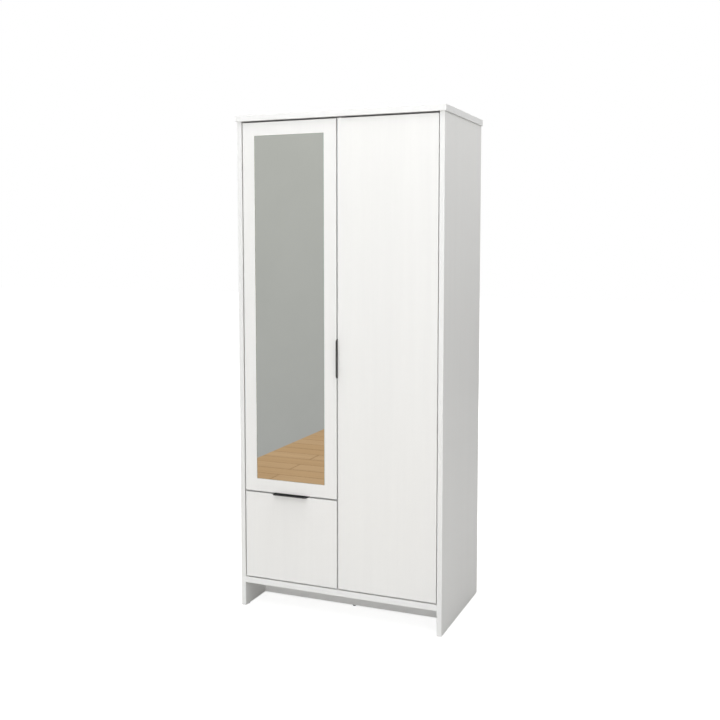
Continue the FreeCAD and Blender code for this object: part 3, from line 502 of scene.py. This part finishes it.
# powder coat, lacquer, moulded plastic and rubber: one recipe, each with its own numbers
skinSmears = 14.0
skinLooks = {
    "black_tab": {"low": (0.014, 0.014, 0.015, 1), "high": (0.022, 0.022, 0.023, 1), "gloss": 0.42,
                  "spread": 0.12, "peel": 900.0, "tooth": 4200.0, "mix": 0.35, "relief": 0.00005,
                  "ior": 1.5},
    "white_runner": {"low": (0.77, 0.77, 0.75, 1), "high": (0.82, 0.82, 0.8, 1), "gloss": 0.33,
                     "spread": 0.1, "peel": 500.0, "tooth": 2600.0, "mix": 0.25, "relief": 0.00006,
                     "ior": 1.5},
    "roller_plastic": {"low": (0.7, 0.7, 0.67, 1), "high": (0.78, 0.78, 0.75, 1), "gloss": 0.38,
                       "spread": 0.08, "peel": 900.0, "tooth": 3800.0, "mix": 0.5, "relief": 0.00003,
                       "ior": 1.52},
    "dark_glide": {"low": (0.03, 0.03, 0.032, 1), "high": (0.055, 0.055, 0.057, 1), "gloss": 0.5,
                   "spread": 0.14, "peel": 800.0, "tooth": 3000.0, "mix": 0.5, "relief": 0.00004,
                   "ior": 1.5},
    "bumper_rubber": {"low": (0.6, 0.6, 0.59, 1), "high": (0.7, 0.7, 0.69, 1), "gloss": 0.3,
                      "spread": 0.1, "peel": 1200.0, "tooth": 3000.0, "mix": 0.3, "relief": 0.00002,
                      "ior": 1.45},
    "mounting_tape": {"low": (0.13, 0.13, 0.13, 1), "high": (0.22, 0.22, 0.21, 1), "gloss": 0.85,
                      "spread": 0.1, "peel": 2200.0, "tooth": 5200.0, "mix": 0.6, "relief": 0.0001,
                      "ior": 1.4},
}


def makeSkinned(slotName, look):
    material, tree, surface, where = startSurface(slotName + "Finish", look["ior"])
    skin = placeGroup(tree, coatedSkin, -700, 200, Place=where["Object"], Peel=look["peel"],
                      Tooth=look["tooth"], Mix=look["mix"])
    marks = placeGroup(tree, handlingMarks, -700, -200, Place=where["Object"], Size=skinSmears,
                       Base=look["gloss"], Spread=look["spread"])
    tone = mathNode(tree, "MULTIPLY", skin["Mask"], marks["Mask"], -400, 150)
    feed(tree, surface["Base Color"], mixColour(tree, tone, look["low"], look["high"], -100, 200))
    feed(tree, surface["Roughness"], marks["Gloss"])
    addRelief(tree, surface, skin["Height"], look["relief"])
    return material


# plated and cast metals
metalSmears = 26.0
metalLooks = {
    "nickel_steel": {"low": (0.56, 0.545, 0.51, 1), "high": (0.69, 0.675, 0.64, 1), "gloss": 0.26,
                     "spread": 0.12, "stretch": (1800.0, 1800.0, 60.0), "relief": 0.00001},
    "zinc_steel": {"low": (0.5, 0.515, 0.535, 1), "high": (0.68, 0.69, 0.71, 1), "gloss": 0.34,
                   "spread": 0.16, "stretch": (900.0, 900.0, 900.0), "relief": 0.00002},
    "zinc_cam": {"low": (0.42, 0.425, 0.43, 1), "high": (0.6, 0.605, 0.61, 1), "gloss": 0.46,
                 "spread": 0.18, "stretch": (1500.0, 1500.0, 1500.0), "relief": 0.00005},
    "chrome_rail": {"low": (0.74, 0.745, 0.755, 1), "high": (0.83, 0.835, 0.845, 1), "gloss": 0.1,
                    "spread": 0.06, "stretch": (25.0, 2600.0, 2600.0), "relief": 0.000004},
}


def makeMetal(slotName, look):
    material, tree, surface, where = startSurface(slotName + "Finish", metallic=1.0)
    lines = placeGroup(tree, drawnLines, -700, 200, Place=where["Object"], Stretch=look["stretch"])
    marks = placeGroup(tree, handlingMarks, -700, -200, Place=where["Object"], Size=metalSmears,
                       Base=look["gloss"], Spread=look["spread"])
    line = mathNode(tree, "MULTIPLY", lines["Line"], 0.5, -450, 250)
    cloud = mathNode(tree, "MULTIPLY", lines["Cloud"], 0.5, -450, 100)
    tone = mathNode(tree, "ADD", line, cloud, -300, 200)
    tone = rangeNode(tree, tone, (0.35, 0.65), wholeRange, -150, 200)
    feed(tree, surface["Base Color"], mixColour(tree, tone, look["low"], look["high"], 50, 200))
    feed(tree, surface["Roughness"], marks["Gloss"])
    addRelief(tree, surface, lines["Line"], look["relief"])
    return material


# dowels
beechLook = {
    "dark": (0.5, 0.33, 0.19, 1),
    "light": (0.72, 0.54, 0.36, 1),
    "darkGloss": 0.75,
    "lightGloss": 0.6,
    "pores": 0.8,
    "stretch": (30.0, 900.0, 900.0),
    "relief": 0.00008,
    "ior": 1.45,
}


def makeBeech():
    look = beechLook
    material, tree, surface, where = startSurface("beechFinish", look["ior"])
    grain = placeGroup(tree, foilGrain, -700, 200, Place=where["Object"], Stretch=look["stretch"],
                       Pores=look["pores"])
    tone = rangeNode(tree, grain["Streak"], streakRange, wholeRange, -400, 200)
    gloss = rangeNode(tree, grain["Streak"], (0.2, 0.8), (look["darkGloss"], look["lightGloss"]), -100, -100)
    feed(tree, surface["Base Color"], mixColour(tree, tone, look["dark"], look["light"], -100, 200))
    feed(tree, surface["Roughness"], gloss)
    addRelief(tree, surface, grain["Height"], look["relief"])
    return material


finishes = {name: makeSkinned(name, look) for name, look in skinLooks.items()}
finishes.update({name: makeMetal(name, look) for name, look in metalLooks.items()})
finishes["white_edge_band"] = makeEdgeBand()
finishes["hardboard"] = makeHardboard("hardboardBack", (0, -1, 0))
finishes["mirror_glass"] = makeMirror()
finishes["beech"] = makeBeech()
drawerBase = makeHardboard("hardboardDrawer", (0, 0, 1))


def thinAxis(name):
    low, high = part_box(name)
    size = high - low
    return "xyz"[list(size).index(min(size))]


def finishFor(name):
    slotName = slotOf[name]
    if slotName == "white_board":
        return boardFinish[thinAxis(name)]
    if slotName == "drawer_board":
        return drawerFinish[thinAxis(name)]
    if name == "drawer_bottom":
        return drawerBase
    return finishes[slotName]


for name, item in nodes.items():
    item.data.materials.clear()
    item.data.materials.append(finishFor(name))
print("wardrobe: finishes on", len(nodes), "nodes")


# pressed, moulded and folded fittings get soft arrises:
# a copy of the fitting's own shape, eased along its edges
easedFittings = {
    "mirror_glass": {"ease": 0.0006, "steps": 2, "body": "mirror_door", "flat": True},
    "right_door_handle": {"ease": 0.00035, "steps": 3, "body": "right_door"},
    "drawer_handle": {"ease": 0.00035, "steps": 3, "body": "drawer"},
    "hinge_plates": {"ease": 0.0003, "steps": 2, "body": "carcass"},
    "mirror_door_hinge_arms": {"ease": 0.0003, "steps": 2, "body": "carcass"},
    "right_door_hinge_arms": {"ease": 0.0003, "steps": 2, "body": "carcass"},
    "wall_brackets": {"ease": 0.0004, "steps": 2, "body": "carcass"},
    "shelf_pins": {"ease": 0.0003, "steps": 2, "body": "carcass"},
    "carcass_rollers": {"ease": 0.0005, "steps": 2, "body": "carcass_rollers"},
    "drawer_rollers": {"ease": 0.0005, "steps": 2, "body": "drawer_rollers"},
    "rail_sockets": {"ease": 0.0006, "steps": 3, "body": "carcass"},
}
easing = {
    "merge": 0.000002,
    "flatWithin": math.radians(0.5),
    "sharpFrom": math.radians(40),
    "shadeFrom": math.radians(38),
    "faceWeight": 100,
}


def easeFitting(name, look):
    flat = look.get("flat", False)
    mesh = nodes[name].data.copy()
    mesh.name = name + "Eased"
    work = bmesh.new()
    work.from_mesh(mesh)
    bmesh.ops.remove_doubles(work, verts=work.verts, dist=easing["merge"])
    bmesh.ops.dissolve_limit(work, angle_limit=easing["flatWithin"], verts=work.verts, edges=work.edges)
    sharp = [edge for edge in work.edges
             if len(edge.link_faces) == 2 and edge.calc_face_angle(0.0) > easing["sharpFrom"]]
    bmesh.ops.bevel(work, geom=sharp, offset=look["ease"], offset_type="OFFSET", segments=look["steps"],
                    profile=0.5, affect="EDGES", clamp_overlap=True, harden_normals=False)
    for face in work.faces:
        face.smooth = not flat
    work.to_mesh(mesh)
    work.free()
    piece = bpy.data.objects.new(name + "Eased", mesh)
    scene.collection.objects.link(piece)
    if not flat:
        mesh.set_sharp_from_angle(angle=easing["shadeFrom"])
        level = piece.modifiers.new("levelFaces", "WEIGHTED_NORMAL")   # big faces flat, arrises soft
        level.weight = easing["faceWeight"]
        level.keep_sharp = True
    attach(piece, look["body"])
    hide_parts(name)


for name, look in easedFittings.items():
    easeFitting(name, look)
print("wardrobe:", len(easedFittings), "fittings eased")


# floor, reflected room and light
def sheetOf(name, corners, material):
    mesh = bpy.data.meshes.new(name)
    mesh.from_pydata(corners, [], [(0, 1, 2, 3)])
    mesh.materials.append(material)
    item = bpy.data.objects.new(name, mesh)
    scene.collection.objects.link(item)
    return item


def reflectedOnly(item):
    # seen in the mirror, never by the camera, and it adds no colour to the light
    item.visible_camera = False
    item.visible_diffuse = False
    item.visible_shadow = False
    item.visible_transmission = False


def pickShader(tree, factor, first, second, x, y):
    node = addNode(tree, "ShaderNodeMixShader", x, y)
    for socket, source in zip(node.inputs, (factor, first, second)):
        tree.links.new(source, socket)
    return node.outputs[0]


floorLook = {
    "size": 40.0,
    "paper": (0.5, 0.5, 0.497, 1),
    "paperSoft": (0.47, 0.47, 0.467, 1),
    "specks": 3.0,
    "glow": 0.8,         # beside the wardrobe; it rises to plain white further out
    "glowReach": (0.7, 2.2),
    "bounce": (0.5, 0.5, 0.495, 1),
}


def makeFloor():
    # bright paper to the camera, a quieter bounce to everything else
    look = floorLook
    material, tree, out = openMaterial("paleFloor")
    where = addNode(tree, "ShaderNodeTexCoord", -900, 0).outputs["Object"]
    speck = noiseNode(tree, where, -700, 0, look["specks"], detail=3.0)
    paper = addNode(tree, "ShaderNodeBsdfDiffuse", 0, 200)
    feed(tree, paper.inputs["Color"], mixColour(tree, speck, look["paperSoft"], look["paper"], -300, 200))
    glow = addNode(tree, "ShaderNodeEmission", 0, 0)
    reach = addNode(tree, "ShaderNodeVectorMath", -700, -250, operation="LENGTH")
    feed(tree, reach.inputs[0], where)
    strength = rangeNode(tree, reach.outputs["Value"], look["glowReach"], (look["glow"], 1.0), -300, -200)
    feed(tree, glow.inputs["Strength"], strength)
    seen = addNode(tree, "ShaderNodeAddShader", 250, 150)
    tree.links.new(paper.outputs[0], seen.inputs[0])
    tree.links.new(glow.outputs[0], seen.inputs[1])
    bounce = addNode(tree, "ShaderNodeBsdfDiffuse", 250, -100)
    bounce.inputs["Color"].default_value = look["bounce"]
    toCamera = addNode(tree, "ShaderNodeLightPath", 250, 400).outputs["Is Camera Ray"]
    tree.links.new(pickShader(tree, toCamera, bounce.outputs[0], seen.outputs[0], 600, 0), out.inputs[0])
    half = look["size"] / 2
    corners = [(-half, -half, 0), (half, -half, 0), (half, half, 0), (-half, half, 0)]
    sheetOf("paleFloor", corners, material)


# the room across from the wardrobe, for its mirror only: glowing sheets whose colours are painted light
# standing in for a lit room
roomLook = {
    "left": -1.53,
    "right": 9.0,
    "front": -9.0,
    "wallStart": -0.9,
    "wallHeight": 5.0,
    "wallTop": (0.505, 0.508, 0.48, 1),
    "wallShadedFoot": (0.4, 0.402, 0.392, 1),
    "wallShadeHeight": 2.4,         # height where the painted shade at the wall's foot has faded out
    "oakStart": -0.6,
    "oakLift": 0.002,
    "oakLight": (0.57, 0.385, 0.222, 1),
    "oakDark": (0.515, 0.337, 0.182, 1),
    "oakJoint": (0.36, 0.23, 0.12, 1),
    "plank": (1.2, 0.14),
    "plankJoint": 0.004,
    "plankOffset": 0.37,
    "grainStretch": (2.0, 40.0, 40.0),
    "grainPores": 0.3,
    "grainTone": (0.88, 1.08),
}


def makeRoomWalls():
    look = roomLook
    material, tree, out = openMaterial("greyWall")
    # the wall glows rather than being lit: its colour is painted light, with painted shade darker towards
    # its foot
    glow = addNode(tree, "ShaderNodeEmission", 600, 0)
    where = addNode(tree, "ShaderNodeTexCoord", -900, 0).outputs["Object"]
    split = addNode(tree, "ShaderNodeSeparateXYZ", -700, 100)
    feed(tree, split.inputs[0], where)
    rise = rangeNode(tree, split.outputs["Z"], (0.0, look["wallShadeHeight"]), wholeRange, -450, 100)
    feed(tree, glow.inputs["Color"], mixColour(tree, rise, look["wallShadedFoot"], look["wallTop"], 100, 100))
    tree.links.new(glow.outputs[0], out.inputs[0])
    top = look["wallHeight"]
    start = (look["left"], look["wallStart"])
    corner = (look["left"], look["front"])
    end = (look["right"], look["front"])
    for name, first, second in (("greyWall", corner, start), ("greyWallFar", corner, end)):
        wall = sheetOf(name, [(*first, 0), (*second, 0), (*second, top), (*first, top)], material)
        reflectedOnly(wall)


def makeRoomFloor():
    look = roomLook
    material, tree, out = openMaterial("oakBoards")
    # the oak floor glows rather than being lit: its plank colours are painted light
    glow = addNode(tree, "ShaderNodeEmission", 600, 0)
    where = addNode(tree, "ShaderNodeTexCoord", -1100, 0).outputs["Object"]
    planks = addNode(tree, "ShaderNodeTexBrick", -700, 200, offset=look["plankOffset"])
    feed(tree, planks.inputs["Vector"], where)
    feed(tree, planks.inputs["Color1"], look["oakLight"])
    feed(tree, planks.inputs["Color2"], look["oakDark"])
    feed(tree, planks.inputs["Mortar"], look["oakJoint"])
    feed(tree, planks.inputs["Scale"], 1.0)
    feed(tree, planks.inputs["Mortar Size"], look["plankJoint"])
    feed(tree, planks.inputs["Brick Width"], look["plank"][0])
    feed(tree, planks.inputs["Row Height"], look["plank"][1])
    grain = placeGroup(tree, foilGrain, -700, -200, Place=where, Stretch=look["grainStretch"],
                       Pores=look["grainPores"])
    tone = rangeNode(tree, grain["Streak"], streakRange, look["grainTone"], -400, -200)
    boards = mixColour(tree, 1.0, planks.outputs["Color"], tone, 100, 100, blend="MULTIPLY")
    feed(tree, glow.inputs["Color"], boards)
    tree.links.new(glow.outputs[0], out.inputs[0])
    z = look["oakLift"]
    corners = [(look["left"], look["front"], z), (look["right"], look["front"], z),
               (look["right"], look["oakStart"], z), (look["left"], look["oakStart"], z)]
    reflectedOnly(sheetOf("oakBoards", corners, material))


makeFloor()
makeRoomWalls()
makeRoomFloor()

worldLook = {
    "page": (1, 1, 1, 1),             # what the camera sees behind the wardrobe
    "pageStrength": 1.0,
    "room": (1.0, 1.0, 0.985, 1),     # what lights the wardrobe
    "roomStrength": 0.3,
}


def makeWorld():
    world = bpy.data.worlds.new("softStudio")
    world.use_nodes = True
    tree = world.node_tree
    tree.nodes.clear()
    out = addNode(tree, "ShaderNodeOutputWorld", 400, 0)
    page = addNode(tree, "ShaderNodeBackground", -100, 0)
    page.inputs["Color"].default_value = worldLook["page"]
    page.inputs["Strength"].default_value = worldLook["pageStrength"]
    room = addNode(tree, "ShaderNodeBackground", -100, -200)
    room.inputs["Color"].default_value = worldLook["room"]
    room.inputs["Strength"].default_value = worldLook["roomStrength"]
    toCamera = addNode(tree, "ShaderNodeLightPath", -400, 200).outputs["Is Camera Ray"]
    tree.links.new(pickShader(tree, toCamera, room.outputs[0], page.outputs[0], 150, 0), out.inputs[0])
    scene.world = world


softboxes = {
    "overhead": {"place": (0.1, -0.72, 4.3), "aim": (0.1, -0.6, 1.0), "size": (1.3, 0.7), "watts": 60.0},
    "frontTop": {"place": (0.0, -2.4, 3.9), "aim": (0.0, -0.2, 1.2), "size": (2.6, 1.6), "watts": 35.0},
    "frontMid": {"place": (-0.3, -5.5, 1.8), "aim": (0.0, -0.2, 1.2), "size": (3.0, 2.6), "watts": 25.0,
                 "unmirrored": True},   # these two stay out of the mirror
    "frontLow": {"place": (0.6, -4.5, 0.9), "aim": (0.0, -0.1, 0.5), "size": (2.6, 1.0), "watts": 40.0,
                 "unmirrored": True},
    "rightHigh": {"place": (3.0, -3.2, 3.2), "aim": (0.3, -0.1, 1.4), "size": (1.8, 1.8), "watts": 24.0},
    "sideClose": {"place": (1.9, 0.5, 3.3), "aim": (0.4, 0.0, 1.8), "size": (1.2, 1.2), "watts": 20.9},
    "sideHigh": {"place": (4.0, 0.2, 3.0), "aim": (0.4, 0.0, 1.2), "size": (2.2, 2.2), "watts": 14.0},
    "leftSoft": {"place": (-3.6, 0.9, 2.3), "aim": (-0.4, 0.0, 1.0), "size": (2.2, 2.2), "watts": 70.0},
    "rearSoft": {"place": (-1.2, 4.6, 2.6), "aim": (0.0, 0.3, 1.0), "size": (2.4, 2.4), "watts": 95.0},
}


def makeSoftbox(name, look):
    data = bpy.data.lights.new(name, "AREA")
    data.shape = "RECTANGLE"
    data.size, data.size_y = look["size"]
    data.energy = look["watts"]
    lamp = bpy.data.objects.new(name, data)
    lamp.location = look["place"]
    lamp.rotation_euler = (Vector(look["aim"]) - lamp.location).to_track_quat("-Z", "Y").to_euler()
    lamp.visible_camera = False
    lamp.visible_glossy = not look.get("unmirrored", False)
    scene.collection.objects.link(lamp)


makeWorld()
for name, look in softboxes.items():
    makeSoftbox(name, look)
print("wardrobe: stage and light ready")
